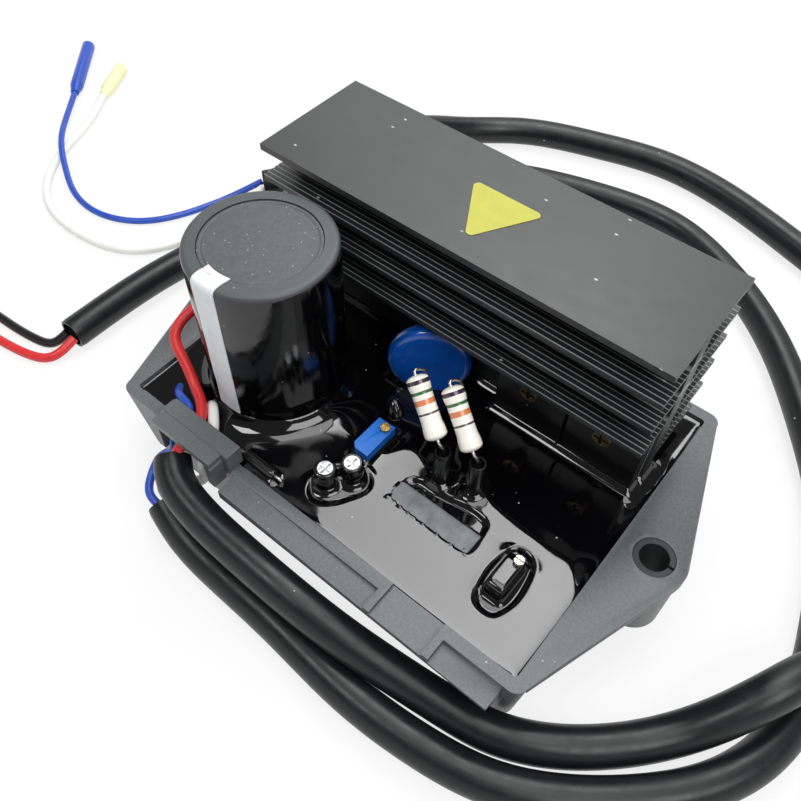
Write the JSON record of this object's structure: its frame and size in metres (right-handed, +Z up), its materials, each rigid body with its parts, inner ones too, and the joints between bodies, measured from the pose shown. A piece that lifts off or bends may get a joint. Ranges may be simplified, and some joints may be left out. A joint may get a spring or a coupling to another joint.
{
  "type": "automatic voltage regulator",
  "caption": "Potted generator voltage regulator: black tray with fixing ears, finned heat sink, tall filter capacitor, small electronics in glossy resin, and sleeved wire tails.",
  "frame": {"origin": "midway between the two fixing holes, on the mounting face under the tray", "axes": "+X along the tray from the capacitor's end to the far ear, +Y from the cable side to the heat sink's side, +Z up out of the open tray"},
  "size_m": [0.3565, 0.2248, 0.0728],
  "materials": {
    "case_plastic": "textured moulded black",
    "clamp_plastic": "satin moulded black",
    "bush_steel": "dull rolled steel",
    "resin": "glossy black potting resin",
    "board": "green laminate",
    "tinned_wire": "tinned wire",
    "black_aluminium": "black anodised",
    "package": "moulded package",
    "pad": "grey insulating pad",
    "yellow_screw": "yellow passivated",
    "can_sleeve": "glossy black shrink sleeve",
    "can_disc": "matte dark grey",
    "tape": "white tape",
    "blue_coating": "glossy blue coating",
    "resistor_lacquer": "cream lacquer with colour bands",
    "black_sleeve": "black insulating sleeve",
    "blue_plastic": "blue moulded plastic",
    "brass": "bright brass",
    "resin_skin": "coated with black resin",
    "bare_aluminium": "bare metal",
    "grey_film": "matte grey",
    "diode_body": "glossy black",
    "yellow_label": "plain yellow sticker",
    "red_pvc": "red wire insulation",
    "black_pvc": "black wire insulation",
    "white_pvc": "white wire insulation",
    "blue_pvc": "blue wire insulation",
    "sleeve_pvc": "satin black cable sleeve",
    "terminal_cover": "insulated push-on end"
  },
  "bodies": {
    "regulator": {"case": "case_plastic", "ear_bushes": "bush_steel", "cable_bridge": "clamp_plastic", "cable_clamp": "clamp_plastic", "potting_resin": "resin", "circuit_board": "board", "board_pins": "tinned_wire", "heat_sink": "black_aluminium", "power_transistor": "package", "rectifier_module": "package", "insulating_pads": "pad", "device_screws": "yellow_screw", "filter_capacitor": "can_sleeve", "capacitor_disc": "can_disc", "tape_strip": "tape", "varistor": "blue_coating", "resistor_left": "resistor_lacquer", "resistor_right": "resistor_lacquer", "resistor_wires": "tinned_wire", "resistor_wire_sleeves": "black_sleeve", "trimmer": "blue_plastic", "coated_trimmer": "resin_skin", "small_capacitors": "can_sleeve", "small_capacitor_tops": "bare_aluminium", "film_capacitor": "grey_film", "diode": "diode_body", "diode_wires": "tinned_wire", "sticker": "yellow_label", "red_lead": "red_pvc", "black_lead": "black_pvc", "white_lead": "white_pvc", "blue_lead": "blue_pvc", "upper_sleeve": "sleeve_pvc", "lower_sleeve": "sleeve_pvc", "red_tail": "red_pvc", "black_tail": "black_pvc", "white_tail": "white_pvc", "blue_tail": "blue_pvc", "terminals": "terminal_cover"},
    "trimmer_adjuster": {"trimmer_screw": "brass"},
    "coated_trimmer_adjuster": {"coated_trimmer_screw": "brass"}
  },
  "joints": [
    {"name": "trimmer_turn", "type": "hinge", "parent": "regulator", "child": "trimmer_adjuster", "pos_m": [-0.0006, -0.0129, 0.025], "axis": [0, 0, 1], "continuous": true},
    {"name": "coated_trimmer_turn", "type": "hinge", "parent": "regulator", "child": "coated_trimmer_adjuster", "pos_m": [0.0453, -0.0214, 0.025], "axis": [0, 0, 1], "continuous": true}
  ]
}
